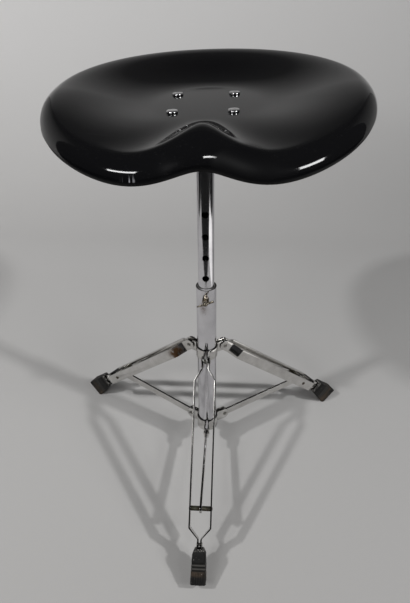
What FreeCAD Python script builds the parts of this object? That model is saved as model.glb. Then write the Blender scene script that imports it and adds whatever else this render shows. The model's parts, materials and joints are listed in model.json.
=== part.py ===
"""Drum stool: a moulded saddle on a chromed post that slides in a folding three-legged stand.

Lengths are millimetres and angles are degrees. The post stands on the Z axis, the floor is Z = 0,
and the front leg and the saddle's horn point to -Y.
"""
import FreeCAD, Part
import math
import os
import types

import Sketcher
from FreeCAD import Placement, Rotation, Vector

SIZES = {
    # Stand tube
    "tube_radius": 14.3,
    "tube_bore": 12.5,
    "tube_top": 326.2,
    "bushing_length": 56.0,
    # Sliding post and its row of height holes
    "post_radius": 11.1,
    "post_bore": 9.6,
    "post_bottom": 236.0,
    "post_below_saddle": 12.3,
    "hole_radius": 4.75,
    "hole_pitch": 31.75,
    "hole_count": 7,
    "lowest_hole": 248.95,
    "holes_below_screw": 2,
    # Clearances, and how far each cut runs past the metal
    "fit_gap": 0.05,
    "running_gap": 0.3,
    "overrun": 30.0,
    # Height screw with its cross bar
    "boss_radius": 4.8,
    "boss_length": 4.8,
    "screw_radius": 3.0,
    "screw_reach": 28.2,
    "screw_head_radius": 3.6,
    "screw_head_length": 5.4,
    "bar_length": 24.5,
    "bar_thin_radius": 1.0,
    "bar_thick_radius": 1.5,
    "bar_tilt": 23.0,
    # Pressed plates that carry the legs and the braces
    "plate_thickness": 1.8,
    "plate_bend": 2.4,
    "ear_gap": 3.6,
    "ear_end": 36.4,
    "ear_corner": 4.5,
    "hub_height": 18.0,
    "hub_pivot_out": 28.6,
    "hub_pivot_height": 211.3,
    "collar_height": 20.0,
    "collar_pivot_out": 30.8,
    "collar_pivot_height": 61.75,
    "tube_below_collar": 12.15,
    "stop_ring_wall": 1.5,
    "stop_ring_height": 1.2,
    # Tubular rivets
    "rivet_radius": 2.0,
    "rivet_bore": 1.1,
    "rivet_head_radius": 2.9,
    "rivet_head_height": 0.9,
    "spacer_radius": 3.6,
    # Legs of two straps, measured along and across the leg from its pivot
    "leg_width": 31.35,
    "strap_height": 16.0,
    "strap_thickness": 2.0,
    "strap_bend": 2.6,
    "joggle_start": 12.0,
    "joggle_end": 27.0,
    "crossbar_along": 203.1,
    "crossbar_radius": 3.35,
    "taper_start": 227.8,
    "taper_end": 242.8,
    "neck_gap": 2.2,
    "neck_rivet_along": 249.8,
    "strap_end": 289.0,
    "strap_end_height": 17.174,
    # Braces between the collar and the crossbars
    "brace_height": 12.5,
    "brace_thickness": 3.0,
    # Rubber feet, measured along and across the leg
    "foot_start": 254.3,
    "foot_end": 299.5,
    "foot_end_lean": 5.8,
    "foot_width": 21.0,
    "foot_mouth_width": 12.4,
    "foot_shoulder_width": 18.4,
    "foot_shoulder_along": 261.5,
    "foot_top": 11.4,
    "foot_mouth_top": 10.2,
    "foot_under": 10.5,
    "sole_length": 5.0,
    "foot_round": 1.6,
    "groove_width": 2.2,
    "groove_depth": 1.0,
    "groove_along": 274.6,
    "groove_pitch": 4.6,
    "groove_count": 2,
    "rib_start": 284.5,
    "rib_gap": 1.4,
    "rib_pitch": 3.4,
    "rib_gap_count": 5,
    # Saddle, one moulded shell with a rolled edge: its plan
    "saddle_height": 574.8,
    "saddle_thickness": 5.0,
    "saddle_half_width": 183.6,
    "saddle_back": 165.0,
    "saddle_front": 173.0,
    "saddle_centre_right": 3.6,
    "saddle_centre_back": 2.0,
    "saddle_lean": 1.7,
    "notch_depth": 28.0,
    "pad_radius": 60.0,
    # Heights of the saddle's crest over its pad, and depth and breadth of the roll outside it
    "back_rise": 25.0,
    "side_rise": 20.4,
    "thigh_rise": -13.3,
    "horn_rise": 11.0,
    "back_drop": 12.0,
    "side_drop": 18.8,
    "thigh_drop": 21.0,
    "horn_drop": 30.0,
    "back_roll": 14.0,
    "side_roll": 18.0,
    "thigh_roll": 22.0,
    "horn_roll": 37.0,
    "rim_lip": 4.0,
    "rim_draft": 1.5,
    # Bracket and bolts under the saddle
    "bolt_spacing": 66.8,
    "bolt_radius": 3.0,
    "bolt_hole_radius": 3.3,
    "bolt_head_radius": 6.4,
    "bolt_head_height": 3.0,
    "bolt_tail": 2.4,
    "washer_radius": 6.2,
    "washer_height": 1.6,
    "nut_width": 10.0,
    "nut_height": 5.0,
    "bracket_width": 94.0,
    "bracket_thickness": 3.0,
    "bracket_corner": 14.0,
    "socket_wall": 3.0,
    "socket_length": 46.0,
    "clamp_drop": 26.0,
    "clamp_nut_radius": 7.0,
    "clamp_nut_length": 8.0,
    "clamp_reach": 34.0,
    "clamp_head_width": 10.0,
    "clamp_head_height": 5.0,
}

# Numbers without a unit
END_ROUND_SHARE = 0.49
OUTLINE_POWER = 2.32
NOTCH_ANGLE = 14.5
HORN_ANGLE = 20.0
RING_POINTS = 32
TOP_DISH_SHARES = (0.35, 0.7, 1.0)
TOP_ROLL_ANGLES = (30, 60, 90)
UNDER_ROLL_ANGLES = (90, 45)
UNDER_DISH_SHARES = (1.0, 0.5)
BOLT_COUNT = 4
HEX_SIDES = 6
LEGS = {"front": -90, "right": 30, "left": 150}
PLATES = {"right": -30, "rear": 90, "left": 210}

X_AXIS = Vector(1, 0, 0)
Y_AXIS = Vector(0, 1, 0)
Z_AXIS = Vector(0, 0, 1)


class Size:
    """A number together with the spreadsheet expression that gives it."""

    def __init__(self, value, text):
        self.value = value
        self.text = text

    def __add__(self, other):
        return Size(self.value + as_size(other).value, f"({self.text} + {as_size(other).text})")

    def __sub__(self, other):
        return Size(self.value - as_size(other).value, f"({self.text} - {as_size(other).text})")

    def __mul__(self, other):
        return Size(self.value * as_size(other).value, f"({self.text} * {as_size(other).text})")

    def __truediv__(self, other):
        return Size(self.value / as_size(other).value, f"({self.text} / {as_size(other).text})")

    def __neg__(self):
        return Size(-self.value, f"(0 - {self.text})")


def as_size(number):
    """A plain number as a size."""
    return number if isinstance(number, Size) else Size(number, repr(number))


def root(amount):
    return Size(math.sqrt(amount.value), f"sqrt({amount.text})")


def sine(angle):
    return Size(math.sin(math.radians(angle.value)), f"sin({angle.text} * 1 deg)")


def cosine(angle):
    return Size(math.cos(math.radians(angle.value)), f"cos({angle.text} * 1 deg)")


def tangent(angle):
    return sine(angle) / cosine(angle)


def slope_angle(rise, length):
    """The angle in degrees of a straight piece that rises so far over its length."""
    share = rise / length
    return Size(math.degrees(math.asin(share.value)), f"(asin({share.text}) / 1 deg)")


def half_turn_tangent(rise, run):
    """The tangent of half the angle whose sides are rise and run."""
    return (root(rise * rise + run * run) - run) / rise


def dome_radius(across, height):
    """The radius of the sphere whose cap is across wide from its middle and so high."""
    return (across * across + height * height) / (height * 2)


def make_sheet():
    """Writes the sizes into the spreadsheet and gives them back as Size values."""
    sheet = doc.addObject("Spreadsheet::Sheet", "Sizes")
    sizes = {}
    for row, (alias, value) in enumerate(SIZES.items(), start=1):
        sheet.set(f"A{row}", alias)
        sheet.set(f"B{row}", str(value))
        sheet.setAlias(f"B{row}", alias)
        sizes[alias] = Size(value, f"Sizes.{alias}")
    doc.recompute()
    return types.SimpleNamespace(**sizes)


def bind(thing, prop, amount):
    """Ties a property to the sheet."""
    thing.setExpression(prop, as_size(amount).text)


def new_body(label, placement=None):
    """A body that becomes one node of the stool."""
    body = doc.addObject("PartDesign::Body", label)
    body.Label = label
    body.AllowCompound = True
    if placement:
        body.Placement = placement
    nodes.append(body)
    return body


def datum(body, role):
    """One of the body's own origin planes or axes."""
    return next(item for item in body.Origin.OriginFeatures if item.Role == role)


def new_sketch(body, role, lift=0, shift=0, turn=0):
    """A sketch on an origin plane: lifted off it, shifted along its first axis, turned about its second."""
    sketch = body.newObject("Sketcher::SketchObject", body.Label + "_outline")
    sketch.AttachmentSupport = [(datum(body, role), "")]
    sketch.MapMode = "FlatFace"
    sketch.AttachmentOffset = Placement(Vector(0, 0, 0), Rotation(Y_AXIS, turn))
    bind(sketch, ".AttachmentOffset.Base.x", shift)
    bind(sketch, ".AttachmentOffset.Base.z", lift)
    return sketch


def fix_point(sketch, element, end, x, y):
    """Holds one point of a sketch element at a place given by the sheet."""
    for kind, amount in (("DistanceX", as_size(x)), ("DistanceY", as_size(y))):
        index = sketch.addConstraint(Sketcher.Constraint(kind, element, end, amount.value))
        bind(sketch, f"Constraints[{index}]", amount)


def fix_radius(sketch, element, radius):
    index = sketch.addConstraint(Sketcher.Constraint("Radius", element, radius.value))
    bind(sketch, f"Constraints[{index}]", radius)


def circle(sketch, radius, x=0, y=0):
    """A circle whose radius and centre follow the sheet."""
    centre = Vector(as_size(x).value, as_size(y).value, 0)
    element = sketch.addGeometry(Part.Circle(centre, Z_AXIS, radius.value), False)
    fix_point(sketch, element, 3, x, y)
    fix_radius(sketch, element, radius)


def arc_between(start, end, radius):
    """An arc from start to end that turns left where the radius is positive and right where it isn't."""
    chord = end - start
    reach = math.sqrt(radius * radius - chord.Length * chord.Length / 4)
    across = Vector(-chord.y, chord.x, 0).normalize() * math.copysign(reach, radius)
    centre = start + chord / 2 + across
    first, last = (start, end) if radius > 0 else (end, start)
    angles = [math.atan2(point.y - centre.y, point.x - centre.x) for point in (first, last)]
    return Part.ArcOfCircle(Part.Circle(centre, Z_AXIS, abs(radius)), angles[0], angles[1])


def outline(sketch, corners):
    """A closed outline through (x, y) corners, where (x, y, radius) is reached along an arc."""
    elements = []
    for i, corner in enumerate(corners):
        start = Vector(*[as_size(c).value for c in corners[i - 1][:2]], 0)
        end = Vector(*[as_size(c).value for c in corner[:2]], 0)
        if len(corner) == 2:
            element = sketch.addGeometry(Part.LineSegment(start, end), False)
            elements.append((element, 1, 2))
            continue
        radius = corner[2]
        element = sketch.addGeometry(arc_between(start, end, radius.value), False)
        elements.append((element, 1, 2) if radius.value > 0 else (element, 2, 1))
        fix_radius(sketch, element, radius if radius.value > 0 else -radius)
    for i, (element, _, end) in enumerate(elements):
        following, start, _ = elements[(i + 1) % len(elements)]
        sketch.addConstraint(Sketcher.Constraint("Coincident", element, end, following, start))
        fix_point(sketch, element, end, corners[i][0], corners[i][1])


def mirrored_corners(corners):
    """The same outline on the other side of the first axis."""
    return [(corner[0], -as_size(corner[1])) for corner in corners]


def feature(body, kind, sketch=None):
    made = body.newObject("PartDesign::" + kind, body.Label + "_" + kind.lower())
    if sketch:
        made.Profile = sketch
    return made


def pad(body, sketch, length, both_ways=False):
    made = feature(body, "Pad", sketch)
    if both_ways:
        made.SideType = "Symmetric"
    bind(made, "Length", length)
    return made


def cut_through(body, sketch):
    """Cuts the outline right through, both ways."""
    made = feature(body, "Pocket", sketch)
    made.Type = "ThroughAll"
    made.SideType = "Symmetric"
    return made


def cut_deep(body, sketch, depth, forward=False):
    """Cuts the outline against its plane's normal, or along it."""
    made = feature(body, "Pocket", sketch)
    made.Reversed = forward
    bind(made, "Length", depth)
    return made


def revolve(body, sketch):
    """Turns the outline once round its own second axis."""
    made = feature(body, "Revolution", sketch)
    made.ReferenceAxis = (sketch, ["V_Axis"])
    made.Angle = 360
    return made


def around(body, original, count):
    """Repeats a feature evenly round the body's Z axis."""
    made = feature(body, "PolarPattern")
    made.Originals = [original]
    made.Axis = (datum(body, "Z_Axis"), [""])
    made.Angle = 360
    made.Occurrences = count
    body.Tip = made
    return made


def along(body, original, role, pitch, count):
    """Repeats a feature at a pitch along one of the body's axes."""
    made = feature(body, "LinearPattern")
    made.Originals = [original]
    made.Direction = (datum(body, role), [""])
    made.Mode = "Spacing"
    bind(made, "Offset", pitch)
    bind(made, "Occurrences", count)
    body.Tip = made
    return made


def mirror(body, original, role):
    """Repeats a feature on the other side of an origin plane."""
    made = feature(body, "Mirrored")
    made.Originals = [original]
    made.MirrorPlane = (datum(body, role), [""])
    body.Tip = made
    return made


def straight_edges(base, direction, test):
    """The names of the base's straight edges along a direction whose middle passes the test."""
    doc.recompute()
    names = []
    for number, edge in enumerate(base.Shape.Edges, start=1):
        if not isinstance(edge.Curve, Part.Line):
            continue
        ends = [vertex.Point for vertex in edge.Vertexes]
        span = (ends[1] - ends[0]).normalize()
        if abs(abs(span.dot(direction)) - 1) < 1e-6 and test((ends[0] + ends[1]) / 2):
            names.append(f"Edge{number}")
    return names


def soften(body, base, kind, amount, direction, test):
    """Rounds or chamfers the chosen straight edges."""
    names = straight_edges(base, direction, test)
    made = feature(body, kind)
    made.Base = (base, names)
    bind(made, "Size" if kind == "Chamfer" else "Radius", amount)
    return made


def leg_frame(azimuth):
    """Origin at the leg's hub pivot, X down along the leg, Z square to it and upward."""
    turn = Rotation(Z_AXIS, azimuth)
    pivot = Vector(size.hub_pivot_out.value, 0, size.hub_pivot_height.value)
    return Placement(turn.multVec(pivot), turn.multiply(Rotation(Y_AXIS, leg_slope.value)))


def floor_across(distance):
    """How far across the leg the floor lies, at a distance along it."""
    return (distance * sine(leg_slope) - size.hub_pivot_height) / cosine(leg_slope)


def tube_with_bore(label, outer, inner, bottom, top):
    """An upright tube on the post's axis."""
    body = new_body(label)
    sketch = new_sketch(body, "XY_Plane", lift=bottom)
    circle(sketch, outer)
    circle(sketch, inner)
    pad(body, sketch, top - bottom)
    return body


def front_hole(body, radius, height):
    """A round hole in the front wall of a tube."""
    sketch = new_sketch(body, "XZ_Plane")
    circle(sketch, radius, 0, height)
    return cut_deep(body, sketch, size.overrun, forward=True)


def make_stand_tube():
    bottom = size.collar_pivot_height - size.tube_below_collar
    tube = tube_with_bore("base_tube", size.tube_radius, size.tube_bore, bottom, size.tube_top)
    front_hole(tube, size.screw_radius + size.running_gap, screw_height)
    bushing = tube_with_bore(
        "post_bushing",
        size.tube_bore - size.fit_gap,
        size.post_radius + size.fit_gap,
        size.tube_top - size.bushing_length,
        size.tube_top,
    )
    front_hole(bushing, size.screw_radius + size.running_gap, screw_height)


def make_post():
    top = size.saddle_height - size.post_below_saddle
    body = tube_with_bore("seat_post", size.post_radius, size.post_bore, size.post_bottom, top)
    lowest = front_hole(body, size.hole_radius, size.lowest_hole)
    along(body, lowest, "Z_Axis", size.hole_pitch, size.hole_count)


def make_screw_boss():
    """The round nut that is welded to the front of the stand tube."""
    body = new_body("screw_boss", Placement(Vector(0, 0, screw_height.value), Rotation(X_AXIS, 90)))
    sketch = new_sketch(body, "XY_Plane")
    circle(sketch, size.boss_radius)
    circle(sketch, size.screw_radius + size.fit_gap)
    pad(body, sketch, size.tube_radius + size.boss_length)
    tube = new_sketch(body, "XZ_Plane")
    circle(tube, size.tube_radius + size.fit_gap)
    cut_through(body, tube)


def make_height_screw():
    """The screw whose tip enters the post's holes, and the bar that turns it."""
    turn = Rotation(X_AXIS, 90).multiply(Rotation(Z_AXIS, size.bar_tilt.value))
    frame = Placement(Vector(0, 0, screw_height.value), turn)
    head_start = size.screw_reach - size.screw_head_length
    bar_out = size.screw_reach - size.screw_head_length / 2
    body = new_body("height_screw", frame)
    sketch = new_sketch(body, "XZ_Plane")
    tip = size.post_radius + size.running_gap
    outline(sketch, [
        (0, tip),
        (size.screw_radius, tip),
        (size.screw_radius, head_start),
        (size.screw_head_radius, head_start),
        (size.screw_head_radius, bar_out),
        (0, size.screw_reach, dome_radius(size.screw_head_radius, size.screw_head_length / 2)),
    ])
    revolve(body, sketch)
    eye = new_sketch(body, "YZ_Plane")
    circle(eye, size.bar_thick_radius + size.fit_gap, 0, bar_out)
    cut_through(body, eye)

    bar = new_body("height_screw_bar", Placement(frame.multVec(Vector(0, 0, bar_out.value)), turn))
    profile = new_sketch(bar, "XY_Plane")
    outline(profile, [
        (-size.bar_length / 2, 0),
        (size.bar_length / 2, 0),
        (size.bar_length / 2, size.bar_thick_radius),
        (-size.screw_head_radius, size.bar_thick_radius),
        (-size.bar_length / 2, size.bar_thin_radius),
    ])
    turned = feature(bar, "Revolution", profile)
    turned.ReferenceAxis = (profile, ["H_Axis"])
    turned.Angle = 360


def pressed_plate(label, azimuth, bore, height, pivot_out, pivot_height):
    """A third of the hub or collar: a strip bent round the tube, with an ear for a rivet at each end."""
    body = new_body(label, Placement(Vector(0, 0, 0), Rotation(Z_AXIS, azimuth)))
    outer = bore + size.plate_thickness
    near = size.ear_gap / 2
    far = near + size.plate_thickness
    ear = as_size(180 / len(LEGS))

    def at(distance, aside):
        """A corner on the far side of the plate, from its place along and beside the leg's plane."""
        return (
            distance * cosine(ear) + aside * sine(ear),
            distance * sine(ear) - aside * cosine(ear),
        )

    inner_end = at(root(bore * bore - near * near), near)
    outer_end = at(root(outer * outer - far * far), far)
    ear_inside = at(size.ear_end, near)
    ear_outside = at(size.ear_end, far)
    left = [inner_end, ear_inside, ear_outside, outer_end]
    right = mirrored_corners(left)
    sketch = new_sketch(body, "XY_Plane", lift=pivot_height)
    outline(sketch, [
        (*right[0], -bore),
        right[1],
        right[2],
        right[3],
        (*outer_end, outer),
        ear_outside,
        ear_inside,
        inner_end,
    ])
    strip = pad(body, sketch, height, both_ways=True)

    def is_near(point, place):
        return math.hypot(point.x - place[0].value, abs(point.y) - place[1].value) < size.fit_gap.value

    bent = soften(body, strip, "Fillet", size.plate_bend, Z_AXIS, lambda p: is_near(p, outer_end))
    inside = size.plate_bend + size.plate_thickness
    bent = soften(body, bent, "Fillet", inside, Z_AXIS, lambda p: is_near(p, inner_end))
    tip = Vector(*[(a.value + b.value) / 2 for a, b in zip(ear_inside, ear_outside)], 0)
    for side in (1, -1):
        direction = Vector(math.sin(math.radians(ear.value)), -side * math.cos(math.radians(ear.value)), 0)
        bent = soften(
            body, bent, "Chamfer", size.ear_corner, direction,
            lambda p: math.hypot(p.x - tip.x, p.y - side * tip.y) < size.fit_gap.value,
        )
    hole = new_sketch(body, "XZ_Plane", turn=ear.value)
    circle(hole, size.rivet_radius + size.fit_gap, pivot_out, pivot_height)
    mirror(body, cut_through(body, hole), "XZ_Plane")


def make_hub_and_collar():
    for side, azimuth in PLATES.items():
        pressed_plate(
            f"hub_plate_{side}", azimuth, size.tube_radius + size.fit_gap,
            size.hub_height, size.hub_pivot_out, size.hub_pivot_height,
        )
    for side, azimuth in PLATES.items():
        pressed_plate(
            f"collar_plate_{side}", azimuth, size.tube_radius + size.running_gap,
            size.collar_height, size.collar_pivot_out, size.collar_pivot_height,
        )
    ear_face = size.ear_gap / 2 + size.plate_thickness
    strap_face = ear_face + size.running_gap + size.strap_thickness
    for label, seat, out, height in (
        ("hub_rivets", strap_face + size.fit_gap, size.hub_pivot_out, size.hub_pivot_height),
        ("collar_rivets", ear_face + size.fit_gap, size.collar_pivot_out, size.collar_pivot_height),
    ):
        body = new_body(label, Placement(Vector(0, 0, 0), Rotation(Z_AXIS, LEGS["front"])))
        around(body, rivet(body, seat, out, height), len(LEGS))
    body = new_body("hub_spacers", Placement(Vector(0, 0, 0), Rotation(Z_AXIS, LEGS["front"])))
    sketch = new_sketch(body, "XY_Plane", lift=size.hub_pivot_height, shift=size.hub_pivot_out)
    outline(sketch, [
        (size.rivet_radius + size.fit_gap, -size.ear_gap / 2),
        (size.spacer_radius, -size.ear_gap / 2),
        (size.spacer_radius, size.ear_gap / 2),
        (size.rivet_radius + size.fit_gap, size.ear_gap / 2),
    ])
    around(body, revolve(body, sketch), len(LEGS))


def rivet(body, seat, out, height):
    """A tubular rivet across the leg's plane, with a bevelled head at each end."""
    sketch = new_sketch(body, "XY_Plane", lift=height, shift=out)
    shoulder = seat + size.rivet_head_height / 2
    end = seat + size.rivet_head_height
    outline(sketch, [
        (size.rivet_bore, -end),
        (size.rivet_radius, -end),
        (size.rivet_head_radius, -shoulder),
        (size.rivet_head_radius, -seat),
        (size.rivet_radius, -seat),
        (size.rivet_radius, seat),
        (size.rivet_head_radius, seat),
        (size.rivet_head_radius, shoulder),
        (size.rivet_radius, end),
        (size.rivet_bore, end),
    ])
    return revolve(body, sketch)


def make_stop_ring():
    """The ring that keeps the collar on the tube and carries it when the legs are spread."""
    top = size.collar_pivot_height - size.collar_height / 2 - size.running_gap
    tube_with_bore(
        "stop_ring", size.tube_radius + size.stop_ring_wall, size.tube_radius + size.fit_gap,
        top - size.stop_ring_height, top,
    )


def leg_strap(label, azimuth, side):
    """One joggled strap of a leg; side is 1 or -1."""
    body = new_body(label, leg_frame(azimuth))
    thick = size.strap_thickness
    hub_in = size.ear_gap / 2 + size.plate_thickness + size.running_gap
    wide_in = size.leg_width / 2 - thick
    foot_in = size.neck_gap / 2
    start = -size.strap_height / 2
    joggle = thick * half_turn_tangent(wide_in - hub_in, size.joggle_end - size.joggle_start)
    taper = thick * half_turn_tangent(wide_in - foot_in, size.taper_end - size.taper_start)
    corners = [
        (start, hub_in),
        (size.joggle_start, hub_in),
        (size.joggle_end, wide_in),
        (size.taper_start, wide_in),
        (size.taper_end, foot_in),
        (size.strap_end, foot_in),
        (size.strap_end, foot_in + thick),
        (size.taper_end - taper, foot_in + thick),
        (size.taper_start + taper, wide_in + thick),
        (size.joggle_end + joggle, wide_in + thick),
        (size.joggle_start - joggle, hub_in + thick),
        (start, hub_in + thick),
    ]
    sketch = new_sketch(body, "XY_Plane")
    outline(sketch, corners if side > 0 else mirrored_corners(corners))
    strip = pad(body, sketch, size.strap_height, both_ways=True)
    bent = soften(
        body, strip, "Fillet", size.strap_bend, Z_AXIS,
        lambda p: start.value < p.x - thick.value and p.x + thick.value < size.strap_end.value,
    )
    soften(
        body, bent, "Fillet", size.strap_height * END_ROUND_SHARE, Y_AXIS,
        lambda p: p.x < start.value + size.fit_gap.value,
    )
    holes = new_sketch(body, "XZ_Plane")
    for distance in (0, size.crossbar_along, size.neck_rivet_along):
        circle(holes, size.rivet_radius + size.fit_gap, distance, 0)
    cut_through(body, holes)


def make_crossbar(label, azimuth):
    """The two shouldered studs that the brace's end lies between, riveted into the straps."""
    body = new_body(label, leg_frame(azimuth))
    inner = size.brace_thickness / 2 + size.running_gap
    strap_out = size.leg_width / 2
    strap_in = strap_out - size.strap_thickness
    head = size.rivet_head_height
    sketch = new_sketch(body, "XY_Plane", shift=size.crossbar_along)
    outline(sketch, [
        (0, inner),
        (size.crossbar_radius, inner),
        (size.crossbar_radius, strap_in),
        (size.rivet_radius, strap_in),
        (size.rivet_radius, strap_out),
        (size.rivet_head_radius, strap_out),
        (0, strap_out + head, dome_radius(size.rivet_head_radius, head)),
    ])
    mirror(body, revolve(body, sketch), "XZ_Plane")


def make_foot(label, azimuth):
    """A rubber boot over the leg's end, with a flat sole on the floor."""
    body = new_body(label, leg_frame(azimuth))
    lean = tangent(size.foot_end_lean)
    rise = size.hub_pivot_height / cosine(leg_slope)
    sole_out = (size.foot_end - lean * (size.foot_top + rise)) / (as_size(1) - lean * tangent(leg_slope))
    sole_in = sole_out - size.sole_length * cosine(leg_slope)
    side_view = new_sketch(body, "XZ_Plane")
    outline(side_view, [
        (size.foot_start, -size.foot_under),
        (sole_in, floor_across(sole_in)),
        (sole_out, floor_across(sole_out)),
        (size.foot_end, size.foot_top),
        (size.foot_shoulder_along, size.foot_top),
        (size.foot_start, size.foot_mouth_top),
    ])
    block = pad(body, side_view, size.foot_width, both_ways=True)
    flank = [
        (size.foot_start - size.overrun, size.foot_mouth_width / 2),
        (size.foot_start, size.foot_mouth_width / 2),
        (size.foot_shoulder_along, size.foot_shoulder_width / 2),
        (size.foot_end, size.foot_width / 2),
        (size.foot_end, size.foot_width),
        (size.foot_start - size.overrun, size.foot_width),
    ]
    plan = new_sketch(body, "XY_Plane")
    outline(plan, flank)
    outline(plan, mirrored_corners(flank))
    tapered = cut_through(body, plan)
    doc.recompute()
    names = [
        f"Edge{number}" for number, edge in enumerate(tapered.Shape.Edges, start=1)
        if edge.BoundBox.ZMin > size.foot_mouth_top.value - size.fit_gap.value
        and edge.BoundBox.XLength > size.groove_width.value
    ]
    rounded = feature(body, "Fillet")
    rounded.Base = (tapered, names)
    bind(rounded, "Radius", size.foot_round)

    mouth = new_sketch(body, "YZ_Plane", lift=size.foot_start - size.overrun)
    half_neck = size.neck_gap / 2 + size.strap_thickness + size.fit_gap
    half_height = size.strap_height / 2 + size.fit_gap
    outline(mouth, [
        (-half_neck, -half_height),
        (half_neck, -half_height),
        (half_neck, half_height),
        (-half_neck, half_height),
    ])
    depth = size.strap_end + size.fit_gap - size.foot_start + size.overrun
    cut_deep(body, mouth, depth, forward=True)

    groove = new_sketch(body, "XZ_Plane")
    outline(groove, [
        (size.groove_along, size.foot_top - size.groove_depth),
        (size.groove_along + size.groove_width, size.foot_top - size.groove_depth),
        (size.groove_along + size.groove_width, size.foot_top + size.overrun),
        (size.groove_along, size.foot_top + size.overrun),
    ])
    along(body, cut_through(body, groove), "X_Axis", size.groove_pitch, size.groove_count)

    gap = new_sketch(body, "XY_Plane", lift=size.foot_top - size.groove_depth)
    first = -size.rib_pitch * (size.rib_gap_count - 1) / 2
    outline(gap, [
        (size.rib_start, first - size.rib_gap / 2),
        (size.foot_end + size.overrun, first - size.rib_gap / 2),
        (size.foot_end + size.overrun, first + size.rib_gap / 2),
        (size.rib_start, first + size.rib_gap / 2),
    ])
    along(body, cut_deep(body, gap, size.overrun, forward=True), "Y_Axis", size.rib_pitch, size.rib_gap_count)


def make_brace(label, azimuth):
    """A flat bar from the collar to the leg's crossbar."""
    out = size.hub_pivot_out + size.crossbar_along * cosine(leg_slope) - size.collar_pivot_out
    up = size.hub_pivot_height - size.crossbar_along * sine(leg_slope) - size.collar_pivot_height
    length = root(out * out + up * up)
    climb = math.degrees(math.atan2(up.value, out.value))
    turn = Rotation(Z_AXIS, azimuth)
    pivot = Vector(size.collar_pivot_out.value, 0, size.collar_pivot_height.value)
    body = new_body(label, Placement(turn.multVec(pivot), turn.multiply(Rotation(Y_AXIS, -climb))))
    half = size.brace_height / 2
    sketch = new_sketch(body, "XZ_Plane")
    outline(sketch, [(-half, -half), (length + half, -half), (length + half, half), (-half, half)])
    circle(sketch, size.rivet_radius + size.fit_gap)
    circle(sketch, size.rivet_radius + size.fit_gap, length, 0)
    bar = pad(body, sketch, size.brace_thickness, both_ways=True)
    soften(body, bar, "Fillet", size.brace_height * END_ROUND_SHARE, Y_AXIS, lambda p: True)


def make_legs():
    for name, azimuth in LEGS.items():
        leg_strap(f"{name}_leg_strap_a", azimuth, 1)
        leg_strap(f"{name}_leg_strap_b", azimuth, -1)
        make_crossbar(f"{name}_crossbar", azimuth)
        body = new_body(f"{name}_neck_rivet", leg_frame(azimuth))
        rivet(body, size.neck_gap / 2 + size.strap_thickness, size.neck_rivet_along, 0)
        make_foot(f"{name}_foot", azimuth)
        make_brace(f"{name}_brace", azimuth)


def saddle_frame():
    """Origin at the top of the saddle's pad, leaning to the left with the saddle."""
    return Placement(Vector(0, 0, size.saddle_height.value), Rotation(Y_AXIS, -size.saddle_lean.value))


def saddle_shares(angle):
    """How far a direction in plan belongs to the back, the sides, the thighs and the horn."""
    back = max(math.sin(angle), 0) ** 2
    side = math.cos(angle) ** 2
    front = max(-math.sin(angle), 0) ** 2
    horn = math.exp(-(degrees_from_front(angle) / HORN_ANGLE) ** 2)
    return back, side, front * (1 - horn), front * horn


def degrees_from_front(angle):
    return (math.degrees(angle) + 270) % 360 - 180


def blend(angle, quantity):
    """A named family of sizes, such as rise, mixed by the shares of a direction."""
    families = ("back", "side", "thigh", "horn")
    return sum(
        share * getattr(size, f"{family}_{quantity}").value
        for share, family in zip(saddle_shares(angle), families)
    )


def saddle_reach(angle):
    """The saddle's outline in plan: a full oval with a notch in front of the post."""
    length = size.saddle_back.value if math.sin(angle) > 0 else size.saddle_front.value
    across = abs(math.cos(angle) / size.saddle_half_width.value) ** OUTLINE_POWER
    lengthwise = abs(math.sin(angle) / length) ** OUTLINE_POWER
    notch = math.exp(-(degrees_from_front(angle) / NOTCH_ANGLE) ** 2)
    return (across + lengthwise) ** (-1 / OUTLINE_POWER) - size.notch_depth.value * notch


def saddle_ring(place):
    """A closed smooth wire through the points that place(angle) gives as reach and height."""
    points = []
    for i in range(RING_POINTS):
        angle = math.pi / 2 + 2 * math.pi * i / RING_POINTS
        reach, height = place(angle)
        points.append(Vector(reach * math.cos(angle), reach * math.sin(angle), height))
    curve = Part.BSplineCurve()
    curve.interpolate(Points=points, PeriodicFlag=True)
    return Part.Wire([curve.toShape()])


def dish_place(share, drop):
    """Between the pad and the crest, where share is 1; drop is the depth below the top face."""
    def place(angle):
        crest = saddle_reach(angle) - blend(angle, "roll")
        reach = size.pad_radius.value + (crest - size.pad_radius.value) * share
        height = blend(angle, "rise") * (2 * share ** 2 - share ** 4)
        return reach, height - drop
    return place


def roll_place(turn, inset):
    """Round the rolled edge, where turn is 90 at the rim; inset is the depth inside the outer face."""
    def place(angle):
        crest = saddle_reach(angle) - blend(angle, "roll")
        reach = crest + (blend(angle, "roll") - inset) * math.sin(math.radians(turn))
        fall = (blend(angle, "drop") - inset) * (1 - math.cos(math.radians(turn)))
        return reach, blend(angle, "rise") - inset - fall
    return place


def lip_place(inset):
    """The foot of the short straight lip below the rim."""
    def place(angle):
        height = blend(angle, "rise") - blend(angle, "drop") - size.rim_lip.value
        return saddle_reach(angle) - size.rim_draft.value - inset, height
    return place


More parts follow.
